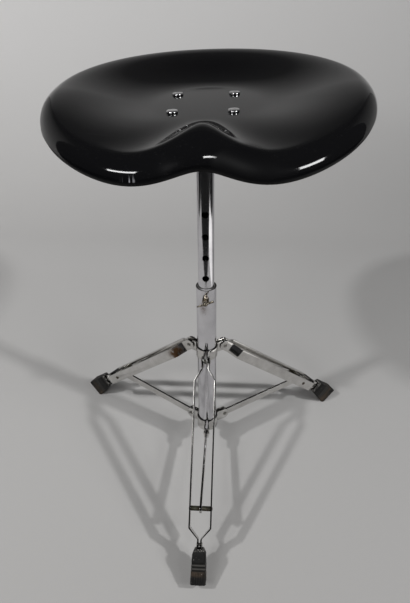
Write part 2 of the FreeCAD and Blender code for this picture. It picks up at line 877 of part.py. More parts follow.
def make_saddle_shell():
    """The moulded shell, lofted through rings from its pad, over the edge and back underneath."""
    thick = size.saddle_thickness.value
    places = [dish_place(0, 0)]
    places += [dish_place(share, 0) for share in TOP_DISH_SHARES]
    places += [roll_place(turn, 0) for turn in TOP_ROLL_ANGLES]
    places += [lip_place(0), lip_place(thick)]
    places += [roll_place(turn, thick) for turn in UNDER_ROLL_ANGLES]
    places += [dish_place(share, thick) for share in UNDER_DISH_SHARES]
    places += [dish_place(0, thick)]
    shell = Part.makeLoft([saddle_ring(place) for place in places], True, True)
    shell.translate(Vector(size.saddle_centre_right.value, size.saddle_centre_back.value, 0))
    half = size.bolt_spacing.value / 2
    for x in (-half, half):
        for y in (-half, half):
            start = Vector(x, y, -thick - size.overrun.value)
            hole = Part.makeCylinder(size.bolt_hole_radius.value, thick + 2 * size.overrun.value, start)
            shell = shell.cut(hole)
    made = doc.addObject("Part::Feature", "saddle_shell")
    made.Label = "saddle_shell"
    made.Shape = shell.Solids[0]
    made.Placement = saddle_frame()
    nodes.append(made)


def bolt_sketch(body, lift=0):
    """A sketch that stands on the line of the rear right bolt."""
    return new_sketch(body, "XZ_Plane", lift=-size.bolt_spacing / 2, shift=size.bolt_spacing / 2)


def make_saddle_bolts():
    plate_bottom = -(size.saddle_thickness + size.bracket_thickness)
    washer_bottom = plate_bottom - size.washer_height
    nut_bottom = washer_bottom - size.nut_height
    head = size.bolt_head_height
    bolts = new_body("saddle_bolts", saddle_frame())
    sketch = bolt_sketch(bolts)
    outline(sketch, [
        (0, nut_bottom - size.bolt_tail),
        (size.bolt_radius, nut_bottom - size.bolt_tail),
        (size.bolt_radius, 0),
        (size.bolt_head_radius, 0),
        (0, head, dome_radius(size.bolt_head_radius, head)),
    ])
    around(bolts, revolve(bolts, sketch), BOLT_COUNT)

    washers = new_body("saddle_washers", saddle_frame())
    sketch = bolt_sketch(washers)
    outline(sketch, [
        (size.bolt_hole_radius, washer_bottom),
        (size.washer_radius, washer_bottom),
        (size.washer_radius, plate_bottom),
        (size.bolt_hole_radius, plate_bottom),
    ])
    around(washers, revolve(washers, sketch), BOLT_COUNT)

    nuts = new_body("saddle_nuts", saddle_frame())
    sketch = new_sketch(nuts, "XY_Plane", lift=nut_bottom)
    half = size.bolt_spacing / 2
    hexagon(sketch, size.nut_width, half, half)
    circle(sketch, size.bolt_radius + size.fit_gap, half, half)
    around(nuts, pad(nuts, sketch, size.nut_height), BOLT_COUNT)


def hexagon(sketch, width, x=0, y=0):
    """A hexagon with its flats a width apart."""
    x = as_size(x)
    y = as_size(y)
    turns = [as_size(360 / HEX_SIDES * i) for i in range(HEX_SIDES)]
    corner = width / 2 / cosine(as_size(180 / HEX_SIDES))
    outline(sketch, [(x + corner * cosine(turn), y + corner * sine(turn)) for turn in turns])


def make_bracket():
    """The plate bolted under the saddle and the socket welded to it, which the post stands in."""
    plate = new_body("bracket_plate", saddle_frame())
    half = size.bracket_width / 2
    hole = size.bolt_spacing / 2
    sketch = new_sketch(plate, "XY_Plane", lift=-(size.saddle_thickness + size.bracket_thickness))
    outline(sketch, [(-half, -half), (half, -half), (half, half), (-half, half)])
    for x in (-hole, hole):
        for y in (-hole, hole):
            circle(sketch, size.bolt_hole_radius, x, y)
    sheet_metal = pad(plate, sketch, size.bracket_thickness)
    soften(plate, sheet_metal, "Fillet", size.bracket_corner, Z_AXIS, lambda p: True)

    bore = size.post_radius + size.fit_gap
    outer = bore + size.socket_wall
    stack = (size.saddle_thickness + size.bracket_thickness) / cosine(size.saddle_lean)
    under = size.saddle_height - stack
    lean = tangent(size.saddle_lean)
    socket = tube_with_bore("bracket_socket", outer, bore, under - size.socket_length, under + outer)
    slope = new_sketch(socket, "XZ_Plane")
    far = size.overrun
    outline(slope, [
        (-far, under - far * lean),
        (far, under + far * lean),
        (far, under + far),
        (-far, under + far),
    ])
    cut_through(socket, slope)
    clamp_height = under - size.clamp_drop
    hole = new_sketch(socket, "XZ_Plane")
    circle(hole, size.screw_radius + size.running_gap, 0, clamp_height)
    cut_deep(socket, hole, size.overrun)

    rear = Placement(Vector(0, 0, clamp_height.value), Rotation(X_AXIS, -90))
    nut = new_body("bracket_clamp_nut", rear)
    sketch = new_sketch(nut, "XY_Plane")
    circle(sketch, size.clamp_nut_radius)
    circle(sketch, size.screw_radius + size.fit_gap)
    pad(nut, sketch, outer + size.clamp_nut_length)
    tube = new_sketch(nut, "XZ_Plane")
    circle(tube, outer + size.fit_gap)
    cut_through(nut, tube)

    screw = new_body("bracket_clamp_screw", rear)
    sketch = new_sketch(screw, "XY_Plane", lift=size.post_radius + size.running_gap)
    circle(sketch, size.screw_radius)
    pad(screw, sketch, size.clamp_reach - size.post_radius - size.running_gap)
    sketch = new_sketch(screw, "XY_Plane", lift=size.clamp_reach - size.clamp_head_height)
    hexagon(sketch, size.clamp_head_width)
    pad(screw, sketch, size.clamp_head_height)


def write_parts():
    """Checks every object and writes each node to its own file."""
    doc.recompute()
    for item in doc.Objects:
        faults = [state for state in item.State if state in ("Invalid", "Error")]
        if faults:
            raise RuntimeError(f"{item.Name} is {faults}")
    os.makedirs("parts", exist_ok=True)
    for node in nodes:
        if node.Shape.isNull() or not node.Shape.isValid():
            raise RuntimeError(f"{node.Label} has no valid shape")
        node.Shape.exportStep(f"parts/{node.Label}.step")
        print(node.Label, len(node.Shape.Solids), round(node.Shape.Volume))


doc = FreeCAD.newDocument("drum_stool")
nodes = []
size = make_sheet()
screw_height = size.lowest_hole + size.hole_pitch * size.holes_below_screw
leg_slope = slope_angle(size.hub_pivot_height - size.strap_end_height, size.strap_end)

make_stand_tube()
make_post()
make_screw_boss()
make_height_screw()
make_hub_and_collar()
make_stop_ring()
make_legs()
make_saddle_shell()
make_saddle_bolts()
make_bracket()
write_parts()
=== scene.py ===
import json
import math

import bmesh
import bpy
from mathutils import Matrix, Vector


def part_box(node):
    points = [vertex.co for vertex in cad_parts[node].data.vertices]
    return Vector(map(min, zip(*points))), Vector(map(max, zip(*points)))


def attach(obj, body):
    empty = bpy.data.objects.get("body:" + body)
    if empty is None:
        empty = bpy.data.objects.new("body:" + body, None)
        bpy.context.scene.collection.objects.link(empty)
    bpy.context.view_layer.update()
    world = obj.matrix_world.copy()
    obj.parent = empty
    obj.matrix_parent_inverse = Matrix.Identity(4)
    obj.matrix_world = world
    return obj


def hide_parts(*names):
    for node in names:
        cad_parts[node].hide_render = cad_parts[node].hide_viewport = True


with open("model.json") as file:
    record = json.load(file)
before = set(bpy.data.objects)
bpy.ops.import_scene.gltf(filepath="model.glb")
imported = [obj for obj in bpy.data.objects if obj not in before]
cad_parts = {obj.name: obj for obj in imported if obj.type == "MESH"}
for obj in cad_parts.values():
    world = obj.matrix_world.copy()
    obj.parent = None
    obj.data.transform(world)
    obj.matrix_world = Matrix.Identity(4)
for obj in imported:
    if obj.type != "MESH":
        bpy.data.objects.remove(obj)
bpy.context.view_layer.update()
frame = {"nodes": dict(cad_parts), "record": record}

nodes = frame["nodes"]
bodies = frame["record"]["behaviour"]["bodies"]
bodyOf = {node: body for body, members in bodies.items() for node in members}
legTurns = {"front": -90, "right": 30, "left": 150}
legSizes = {"pivotOut": 0.0286, "pivotUp": 0.2113, "slope": 42.2}


def legPoint(leg, along, aside=0.0, across=0.0):
    # A point given along the leg from its hub pivot, beside its plane and square to both.
    slope, turn = math.radians(legSizes["slope"]), math.radians(legTurns[leg])
    out = legSizes["pivotOut"] + along * math.cos(slope) + across * math.sin(slope)
    up = legSizes["pivotUp"] - along * math.sin(slope) + across * math.cos(slope)
    east = out * math.cos(turn) - aside * math.sin(turn)
    north = out * math.sin(turn) + aside * math.cos(turn)
    return Vector((east, north, up))


# Shader building

class Value:
    # A shader value that sums and products can be written with, as with numbers.
    def __init__(self, look, socket):
        self.look = look
        self.socket = socket

    def maths(self, operation, *operands, clamp=False):
        node = self.look.tree.nodes.new("ShaderNodeMath")
        node.operation = operation
        node.use_clamp = clamp
        for socket, operand in zip(node.inputs, operands):
            self.look.feed(socket, operand)
        return Value(self.look, node.outputs[0])

    def __add__(self, other):
        return self.maths("ADD", self, other)

    def __radd__(self, other):
        return self.maths("ADD", other, self)

    def __sub__(self, other):
        return self.maths("SUBTRACT", self, other)

    def __rsub__(self, other):
        return self.maths("SUBTRACT", other, self)

    def __mul__(self, other):
        return self.maths("MULTIPLY", self, other)

    def __rmul__(self, other):
        return self.maths("MULTIPLY", other, self)

    def __truediv__(self, other):
        return self.maths("DIVIDE", self, other)

    def __rtruediv__(self, other):
        return self.maths("DIVIDE", other, self)

    def __pow__(self, other):
        return self.maths("POWER", self, other)

    def __rpow__(self, other):
        return self.maths("POWER", other, self)

    def above(self, limit, softness):
        return self.maths("MULTIPLY", self - (limit - softness / 2), 1 / softness, clamp=True)

    def below(self, limit, softness):
        return 1 - self.above(limit, softness)

    def size(self):
        return self.maths("ABSOLUTE", self)


class Look:
    # One material, with its shader's plain values set and its patterns fed in by name.
    def __init__(self, name, plain):
        self.material = bpy.data.materials.new(name)
        self.material.use_nodes = True
        self.tree = self.material.node_tree
        self.shader = self.tree.nodes["Principled BSDF"]
        for socket, amount in plain.items():
            self.shader.inputs[socket].default_value = amount
        coordinates = self.node("ShaderNodeTexCoord")
        self.place = coordinates.outputs["Object"]
        self.facing = coordinates.outputs["Normal"]

    def feed(self, socket, amount):
        if isinstance(amount, Value):
            self.tree.links.new(amount.socket, socket)
        elif isinstance(amount, bpy.types.NodeSocket):
            self.tree.links.new(amount, socket)
        else:
            socket.default_value = amount

    def node(self, kind, settings=None, inputs=None):
        made = self.tree.nodes.new(kind)
        for name, setting in (settings or {}).items():
            setattr(made, name, setting)
        for name, amount in (inputs or {}).items():
            self.feed(made.inputs[name], amount)
        return made

    def value(self, kind, output, settings=None, inputs=None):
        return Value(self, self.node(kind, settings, inputs).outputs[output])

    def axes(self):
        split = self.node("ShaderNodeSeparateXYZ", inputs={"Vector": self.place})
        return [Value(self, socket) for socket in split.outputs]

    def stretched(self, stretch, turn=(0, 0, 0)):
        inputs = {"Vector": self.place, "Scale": stretch, "Rotation": turn}
        return self.node("ShaderNodeMapping", inputs=inputs).outputs["Vector"]

    def noise(self, scale, detail=3, roughness=0.5, stretch=None, turn=(0, 0, 0)):
        where = self.stretched(stretch, turn) if stretch else self.place
        inputs = {"Vector": where, "Scale": scale, "Detail": detail, "Roughness": roughness}
        return self.value("ShaderNodeTexNoise", "Fac", inputs=inputs)

    def spot(self, centre, spread):
        # 1 at a point of the object, falling smoothly to 0 over the given distances.
        off = sum(((at - middle) / reach) ** 2 for at, middle, reach in zip(self.axes(), centre, spread))
        return math.e ** (off * -1)

    def upward(self):
        # 1 where the surface faces up, -1 where it faces down.
        return self.value("ShaderNodeSeparateXYZ", "Z", inputs={"Vector": self.facing})

    def mixed(self, share, first, second):
        mixer = self.node("ShaderNodeMix", {"data_type": "RGBA"})
        self.feed(mixer.inputs["Factor"], share)
        for socket, colour in ((mixer.inputs[6], first), (mixer.inputs[7], second)):
            self.feed(socket, (*colour, 1) if isinstance(colour, tuple) else colour)
        return mixer.outputs[2]

    def dulled(self, share, colour, roughness):
        # Where share is 1 the surface has lost its gloss.
        matt = {"Base Color": (*colour, 1), "Roughness": roughness, "Specular IOR Level": 0.1}
        dull = self.node("ShaderNodeBsdfPrincipled", inputs=matt)
        mixer = self.node("ShaderNodeMixShader", inputs={"Fac": share})
        self.feed(mixer.inputs[1], self.shader.outputs["BSDF"])
        self.feed(mixer.inputs[2], dull.outputs["BSDF"])
        self.feed(self.tree.nodes["Material Output"].inputs["Surface"], mixer.outputs["Shader"])

    def finish(self, colour, roughness, height, depth):
        bump = self.node("ShaderNodeBump", inputs={"Height": height, "Distance": depth, "Strength": 1.0})
        self.feed(self.shader.inputs["Base Color"], colour)
        self.feed(self.shader.inputs["Roughness"], roughness)
        self.feed(self.shader.inputs["Normal"], bump.outputs["Normal"])
        return self.material


# Materials. A noise pattern is given as its scale, detail, roughness, stretch and turn,
# a spot as its centre and its spread.

def glossBlack():
    finish = {
        "black": (0.0024, 0.0024, 0.0027),
        "dust": (0.05, 0.05, 0.05),
        "scuffed": (0.32, 0.32, 0.34),
        "roughness": 0.06,
        "dullRoughness": 0.5,
        "waviness": 0.00022,
        "peelShare": 0.012,
        "hazyPeelShare": 0.03,
        "scratchDepth": 0.000024,
        "undersideFrom": -0.08,
        "wave": (9, 2, 0.35),
        "peel": (130, 2),
        "scratch": (55, 3, 0.5, (0.08, 3.2, 1), (0, 0, 0.5)),
        "crossScratch": (48, 3, 0.5, (3.0, 0.1, 1), (0, 0, -0.3)),
        "specks": (900, 1),
        "dusty": (7, 4),
        "scuffLines": (300, 1, 0.5, (2.2, 1, 0.06), (0, 0.45, 0)),
        "scuff": ((-0.061, -0.166, 0.548), (0.0045, 0.02, 0.0045)),
        "worn": ((-0.06, -0.085, 0.585), (0.075, 0.05, 0.03)),
        "rubbed": ((0.044, -0.154, 0.561), (0.028, 0.036, 0.016)),
        "hazes": (
            ((0.072, -0.155, 0.560), (0.014, 0.03, 0.014)),
            ((-0.030, -0.155, 0.560), (0.010, 0.03, 0.014)),
        ),
    }
    look = Look("gloss_black", {"IOR": 1.5})
    wave = look.noise(*finish["wave"])
    peel = look.noise(*finish["peel"])
    scratches = look.noise(*finish["scratch"]).above(0.66, 0.03)
    scratches += look.noise(*finish["crossScratch"]).above(0.68, 0.03)
    worn = look.spot(*finish["worn"])
    specks = look.noise(*finish["specks"]).above(0.74, 0.04)
    dusty = look.noise(*finish["dusty"]).above(0.5, 0.4)
    haze = sum(look.spot(*place) for place in finish["hazes"])
    scuff = look.spot(*finish["scuff"]) * look.noise(*finish["scuffLines"]).above(0.62, 0.05)
    height = wave + peel * (finish["peelShare"] + haze * finish["hazyPeelShare"])
    height += scratches * worn * (finish["scratchDepth"] / finish["waviness"])
    colour = look.mixed(specks * dusty * 0.5, finish["black"], finish["dust"])
    colour = look.mixed(scuff, colour, finish["scuffed"])
    roughness = finish["roughness"] + (dusty + worn) * 0.03 + scratches * 0.05
    roughness += haze * 0.18 + scuff * 0.3
    rubbed = look.spot(*finish["rubbed"]).above(0.3, 0.15)
    underside = look.upward().below(finish["undersideFrom"], 0.1)
    look.dulled(rubbed + underside, finish["black"], finish["dullRoughness"])
    return look.finish(colour, roughness, height, finish["waviness"])


def chrome():
    finish = {
        "bright": (0.78, 0.775, 0.80),
        "dull": (0.50, 0.49, 0.52),
        "stain": (0.16, 0.10, 0.055),
        "upwardDark": (0.045, 0.042, 0.040),
        "roughness": 0.05,
        "depth": 0.00006,
        "rimFrom": 0.35,
        "streak": (70, 4, 0.5, (1, 1, 0.05)),
        "cloud": (32, 5, 0.6),
        "pits": (520, 2),
        "blot": (150, 4),
        "stained": ((-0.004, -0.0143, 0.298), (0.005, 0.006, 0.010)),
    }
    look = Look("chrome_plate", {"Metallic": 1.0})
    streak = look.noise(*finish["streak"])
    cloud = look.noise(*finish["cloud"])
    pits = look.noise(*finish["pits"]).above(0.72, 0.05)
    stain = look.spot(*finish["stained"]) * look.noise(*finish["blot"]).above(0.45, 0.2) * 0.55
    # Faces that point up are darker and rougher.
    rim = look.upward().above(finish["rimFrom"], 0.2)
    colour = look.mixed(cloud.above(0.55, 0.4) * 0.6, finish["bright"], finish["dull"])
    colour = look.mixed(stain + pits * 0.3, colour, finish["stain"])
    colour = look.mixed(rim, colour, finish["upwardDark"])
    roughness = finish["roughness"] + cloud.above(0.5, 0.5) * 0.10
    roughness += (stain + rim) * 0.4 + pits * 0.2
    return look.finish(colour, roughness, streak + cloud * 0.4, finish["depth"])


def platedSteel(name, edgeShadeShare):
    # The second argument is how strongly the top and bottom edges are painted dark: painted shade,
    # standing in for the dark room these edges mirror.
    finish = {
        "light": (0.74, 0.73, 0.71),
        "dull": (0.40, 0.39, 0.37),
        "rust": (0.12, 0.068, 0.036),
        # painted shade on the top and bottom edges
        "edge": (0.055, 0.053, 0.050),
        "edgeShadeFrom": 0.62,
        "roughness": 0.07,
        "depth": 0.00003,
        "cloud": (60, 6, 0.62),
        "fine": (420, 4, 0.6),
        "grain": (160, 3, 0.5, (1, 1, 0.15)),
        "patch": (110, 5),
        "rustPlaces": (legPoint("left", 0.021, 0.012), legPoint("left", 0.032, 0.0157, -0.003)),
        "rustSpread": (0.010, 0.010, 0.010),
    }
    look = Look(name, {"Metallic": 1.0})
    cloud = look.noise(*finish["cloud"])
    fine = look.noise(*finish["fine"])
    grain = look.noise(*finish["grain"])
    patch = look.noise(*finish["patch"]).above(0.40, 0.2)
    rust = sum(look.spot(place, finish["rustSpread"]) for place in finish["rustPlaces"]) * patch
    speck = fine.above(0.66, 0.05)
    colour = look.mixed(cloud.above(0.56, 0.55) * 0.8, finish["light"], finish["dull"])
    colour = look.mixed(speck * 0.4 + rust, colour, finish["rust"])
    if edgeShadeShare:
        # Faces that point up or down, the edges of the straps, get painted shade.
        edge = look.upward().size().above(finish["edgeShadeFrom"], 0.12) * (0.6 + patch * 0.4)
        colour = look.mixed(edge * edgeShadeShare, colour, finish["edge"])
    roughness = finish["roughness"] + cloud * 0.10 + speck * 0.15 + rust * 0.3
    return look.finish(colour, roughness, cloud + fine * 0.12 + grain * 0.2, finish["depth"])


mottledMetals = {
    "rivet_steel": {
        "light": (0.46, 0.45, 0.42),
        "dull": (0.10, 0.095, 0.085),
        "roughness": 0.33,
        "unevenness": 0.3,
        "depth": 0.00008,
        "cloud": (260, 5, 0.6),
        "fine": (1300, 3),
    },
    "brown_brass": {
        "light": (0.46, 0.41, 0.33),
        "dull": (0.075, 0.060, 0.042),
        "roughness": 0.22,
        "unevenness": 0.25,
        "depth": 0.00008,
        "cloud": (210, 5, 0.6),
        "fine": (1100, 3),
    },
}


def mottledMetal(name):
    finish = mottledMetals[name]
    look = Look(name, {"Metallic": 1.0})
    cloud = look.noise(*finish["cloud"])
    fine = look.noise(*finish["fine"])
    colour = look.mixed(cloud.above(0.5, 0.3), finish["light"], finish["dull"])
    roughness = finish["roughness"] + cloud * finish["unevenness"]
    return look.finish(colour, roughness, cloud + fine * 0.4, finish["depth"])


def darkPatina():
    finish = {
        "green": (0.085, 0.090, 0.066),
        "brown": (0.060, 0.040, 0.024),
        "bare": (0.34, 0.33, 0.30),
        "roughness": 0.38,
        "depth": 0.00012,
        "cloud": (150, 6, 0.62),
        "fine": (900, 4),
    }
    look = Look("dark_patina", {"Metallic": 0.85})
    cloud = look.noise(*finish["cloud"])
    fine = look.noise(*finish["fine"])
    colour = look.mixed(cloud.above(0.5, 0.25), finish["green"], finish["brown"])
    colour = look.mixed(fine.above(0.64, 0.08) * 0.7, colour, finish["bare"])
    return look.finish(colour, finish["roughness"] + cloud * 0.25, cloud + fine * 0.3, finish["depth"])


def boltChrome():
    finish = {
        "bright": (0.94, 0.94, 0.95),
        "dull": (0.66, 0.65, 0.65),
        "roughness": 0.11,
        "depth": 0.00004,
        "cloud": (240, 4),
        "fine": (1500, 2),
    }
    look = Look("bolt_chrome", {"Metallic": 1.0})
    cloud = look.noise(*finish["cloud"])
    fine = look.noise(*finish["fine"]).above(0.68, 0.05)
    colour = look.mixed(cloud.above(0.55, 0.3) * 0.6 + fine * 0.3, finish["bright"], finish["dull"])
    return look.finish(colour, finish["roughness"] + cloud * 0.12 + fine * 0.2, cloud, finish["depth"])


def mouldedRubber():
    # The marks follow the distance along the leg, which is the same for all three boots.
    finish = {
        "black": (0.0045, 0.0045, 0.0045),
        "bloom": (0.011, 0.0105, 0.010),
        "ridge": (0.040, 0.038, 0.035),
        # painted highlight on the ridges
        "dirt": (0.050, 0.036, 0.025),
        "speck": (0.30, 0.29, 0.27),
        "roughness": 0.48,
        "depth": 0.00015,
        "mouthEdge": 0.2570,
        "ridges": (0.27445, 0.27895),
        "ridgeHalf": 0.0010,
        "ridgeFade": 0.0008,
        "dustFrom": 0.2825,
        "dustTo": 0.2885,
        "dirtHeight": 0.013,
        "dirtFade": 0.012,
        "cloud": (75, 5, 0.6),
        "fine": (1400, 3),
        "specks": (480, 2),
        "rimWear": (700, 3),
    }
    look = Look("moulded_rubber", {"Specular IOR Level": 0.2})
    x, y, z = look.axes()
    cloud = look.noise(*finish["cloud"])
    fine = look.noise(*finish["fine"])
    specks = look.noise(*finish["specks"]).above(0.73, 0.03)
    slope = math.radians(legSizes["slope"])
    out = (x ** 2 + y ** 2) ** 0.5 - legSizes["pivotOut"]
    along = out * math.cos(slope) + (legSizes["pivotUp"] - z) * math.sin(slope)
    band = along.above(finish["dustFrom"], 0.002) * along.below(finish["dustTo"], 0.004)
    rim = along.below(finish["mouthEdge"], 0.002) * look.noise(*finish["rimWear"]).above(0.56, 0.06)
    low = (z.below(finish["dirtHeight"], finish["dirtFade"]) + band) * cloud.above(0.42, 0.25)
    colour = look.mixed(cloud.above(0.5, 0.4), finish["black"], finish["bloom"])
    # Pale lines on the two ridges between the grooves: painted highlight.
    for ridge in finish["ridges"]:
        ridgeHighlight = along.above(ridge - finish["ridgeHalf"], finish["ridgeFade"])
        ridgeHighlight *= along.below(ridge + finish["ridgeHalf"], finish["ridgeFade"])
        colour = look.mixed(ridgeHighlight * cloud.above(0.35, 0.3), colour, finish["ridge"])
    colour = look.mixed(low * 0.6, colour, finish["dirt"])
    colour = look.mixed(specks * 0.45 + rim * 0.8, colour, finish["speck"])
    return look.finish(colour, finish["roughness"] + cloud * 0.2, fine * 0.5 + cloud, finish["depth"])


def darkPlastic():
    finish = {
        "dark": (0.045, 0.044, 0.043),
        "worn": (0.14, 0.135, 0.13),
        "pale": (0.32, 0.315, 0.315),
        "roughness": 0.55,
        "depth": 0.00004,
        "cloud": (200, 4),
        "grain": (1800, 2),
        "rubbed": ((0, -0.0125, 0.32), (0.0085, 0.008, 0.02)),
    }
    look = Look("dark_plastic", {})
    cloud = look.noise(*finish["cloud"])
    grain = look.noise(*finish["grain"])
    colour = look.mixed(cloud.above(0.55, 0.3), finish["dark"], finish["worn"])
    colour = look.mixed(look.spot(*finish["rubbed"]).above(0.5, 0.5), colour, finish["pale"])
    return look.finish(colour, finish["roughness"] + cloud * 0.2, grain, finish["depth"])


def paper():
    # Painted light and shade in the paper's colour: paler to the back and up the wall, darker to the right
    # and dark high up.
    finish = {
        "grey": (0.355, 0.350, 0.345),
        "warm": (0.340, 0.333, 0.326),
        "far": (0.495, 0.489, 0.483),
        "pale": (0.68, 0.673, 0.668),
        "shade": (0.10, 0.10, 0.10),
        "dark": (0.075, 0.075, 0.075),
        "farRamp": (0.10, 0.90),
        "paleRamp": (0.27, 0.5),
        "shadeRamp": (0, 2.0),
        "shadeShare": 0.5,
        "darkRamp": (1.05, 1.0),
        "roughness": 0.85,
        "depth": 0.0001,
        "cloud": (1.3, 3),
        "grain": (600, 2),
    }
    look = Look("backdrop_paper", {})
    x, y, height = look.axes()
    colour = look.mixed(look.noise(*finish["cloud"]), finish["grey"], finish["warm"])
    # Painted light: paler to the back and up the wall.
    colour = look.mixed(y.above(*finish["farRamp"]), colour, finish["far"])
    colour = look.mixed(height.above(*finish["paleRamp"]), colour, finish["pale"])
    colour = look.mixed(x.above(*finish["shadeRamp"]) * finish["shadeShare"], colour, finish["shade"])
    # Painted shade: dark high up, standing in for the unlit room above the paper.
    colour = look.mixed(height.above(*finish["darkRamp"]), colour, finish["dark"])
    return look.finish(colour, finish["roughness"], look.noise(*finish["grain"]), finish["depth"])


flatFinishes = {
    # Near black: painted shade, standing in for the unlit room round the paper.
    "room_floor": {
        "first": (0.0022, 0.0022, 0.0022),
        "second": (0.0042, 0.0040, 0.0038),
        "roughness": 0.9,
        "depth": 0.001,
        "cloud": (40, 5),
        "grain": (300, 3),
    },
    "white_card": {
        "first": (0.80, 0.79, 0.77),
        "second": (0.74, 0.73, 0.71),
        "roughness": 0.8,
        "depth": 0.0002,
        "cloud": (20, 3),
        "grain": (500, 3),
    },
}


def flatFinish(name):
    finish = flatFinishes[name]
    look = Look(name, {})
    colour = look.mixed(look.noise(*finish["cloud"]), finish["first"], finish["second"])
    return look.finish(colour, finish["roughness"], look.noise(*finish["grain"]), finish["depth"])


# Mesh building

def newObject(name, mesh):
    made = bpy.data.objects.new(name, mesh)
    bpy.context.scene.collection.objects.link(made)
    return made


def meshFrom(shape, name, material):
    # The bmesh's result as a mesh with one material.
    mesh = bpy.data.meshes.new(name)
    shape.to_mesh(mesh)
    shape.free()
    mesh.materials.append(material)
    return mesh


def settled(source, name):
    # The object's mesh with its modifiers applied, on a new object that has none.
    bpy.context.view_layer.update()
    shapes = bpy.context.evaluated_depsgraph_get()
    finished = source.evaluated_get(shapes)
    mesh = bpy.data.meshes.new_from_object(finished, preserve_all_data_layers=True, depsgraph=shapes)
    bpy.data.objects.remove(source)
    mesh.name = name
    return newObject(name, mesh)


def ringMesh(name, rings, material, closed=False):
    # Closed rings of points joined by quads. The first and the last ring are filled,
    # or welded where the shape closes on itself.
    shape = bmesh.new()
    grid = [[shape.verts.new(point) for point in ring] for ring in rings]
    for low, high in zip(grid, grid[1:]):
        for i in range(len(low)):
            shape.faces.new([low[i - 1], low[i], high[i], high[i - 1]])
    if closed:
        bmesh.ops.remove_doubles(shape, verts=shape.verts, dist=1e-7)
    else:
        shape.faces.new(grid[0])
        shape.faces.new(grid[-1])
    bmesh.ops.recalc_face_normals(shape, faces=shape.faces)
    for face in shape.faces:
        face.smooth = True
    return meshFrom(shape, name, material)


def latheRings(profile, points):
    # Rings round the Z axis through (radius, height) pairs.
    turns = [2 * math.pi * i / points for i in range(points)]
    return [[Vector((r * math.cos(t), r * math.sin(t), z)) for t in turns] for r, z in profile]


roundingSizes = {
    "flatness": 3.0,
    "sharpAngle": 32.0,
    "steps": 2,
    "widths": {"plate": 0.00035, "strap": 0.0003, "rivet": 0.0002},
}


def roundedCopy(node, width, material):
    # The CAD piece with its sharp edges rounded, on a new object.
    given = roundingSizes
    shape = bmesh.new()
    shape.from_mesh(nodes[node].data)
    bmesh.ops.remove_doubles(shape, verts=shape.verts, dist=1e-6)
    flatness = math.radians(given["flatness"])
    bmesh.ops.dissolve_limit(shape, angle_limit=flatness, verts=shape.verts, edges=list(shape.edges))
    for face in shape.faces:
        face.smooth = True
    source = newObject(node + "_source", meshFrom(shape, node + "_cut", material))
    bevel = source.modifiers.new("edges", "BEVEL")
    bevel.width = width
    bevel.segments = given["steps"]
    bevel.limit_method = "ANGLE"
    bevel.angle_limit = math.radians(given["sharpAngle"])
    bevel.harden_normals = True
    bevel.use_clamp_overlap = True
    piece = settled(source, node + "_rounded")
    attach(piece, bodyOf[node])
    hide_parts(node)
    return piece


# Saddle

saddleSizes = {
    "halfWidth": 0.1836,
    "back": 0.165,
    "front": 0.173,
    "ovalPower": 2.32,
    "notchDepth": 0.028,
    "notchAngle": 14.5,
    "hornAngle": 20.0,
    "padRadius": 0.060,
    "padRings": (0.1, 0.4, 0.7, 0.9),
    "thickness": 0.005,
    "lip": 0.004,
    "draft": 0.0015,
    "rise": (0.025, 0.0204, -0.0133, 0.011),
    "drop": (0.012, 0.0188, 0.021, 0.030),
    "roll": (0.014, 0.018, 0.022, 0.037),
    "centre": (0.0036, 0.0020),
    "height": 0.5748,
    "lean": 1.7,
    "pointsRound": 240,
    "dishRings": 26,
    "rollRings": 14,
}


def fromFront(turn):
    return (math.degrees(turn) + 270) % 360 - 180


def mixedSize(turn, family):
    # The size for one direction, from those for the back, the sides, the thighs and the horn.
    horn = math.exp(-(fromFront(turn) / saddleSizes["hornAngle"]) ** 2)
    front = max(-math.sin(turn), 0) ** 2
    shares = (max(math.sin(turn), 0) ** 2, math.cos(turn) ** 2, front * (1 - horn), front * horn)
    return sum(share * amount for share, amount in zip(shares, saddleSizes[family]))


def saddleReach(turn):
    power = saddleSizes["ovalPower"]
    length = saddleSizes["back"] if math.sin(turn) > 0 else saddleSizes["front"]
    across = abs(math.cos(turn) / saddleSizes["halfWidth"]) ** power
    along = abs(math.sin(turn) / length) ** power
    notch = math.exp(-(fromFront(turn) / saddleSizes["notchAngle"]) ** 2)
    return (across + along) ** (-1 / power) - saddleSizes["notchDepth"] * notch


def dishPoint(turn, share, depth):
    # Between the flat pad and the crest, where share is 1.
    crest = saddleReach(turn) - mixedSize(turn, "roll")
    pad = saddleSizes["padRadius"]
    reach = pad + (crest - pad) * share
    return reach, mixedSize(turn, "rise") * (2 * share ** 2 - share ** 4) - depth


def rollPoint(turn, share, depth):
    # Round the rolled edge, where share is 1 at the rim.
    crest = saddleReach(turn) - mixedSize(turn, "roll")
    angle = share * math.pi / 2
    reach = crest + (mixedSize(turn, "roll") - depth) * math.sin(angle)
    fall = (mixedSize(turn, "drop") - depth) * (1 - math.cos(angle))
    return reach, mixedSize(turn, "rise") - depth - fall


def lipPoint(turn, depth):
    height = mixedSize(turn, "rise") - mixedSize(turn, "drop") - saddleSizes["lip"]
    return saddleReach(turn) - saddleSizes["draft"] - depth, height


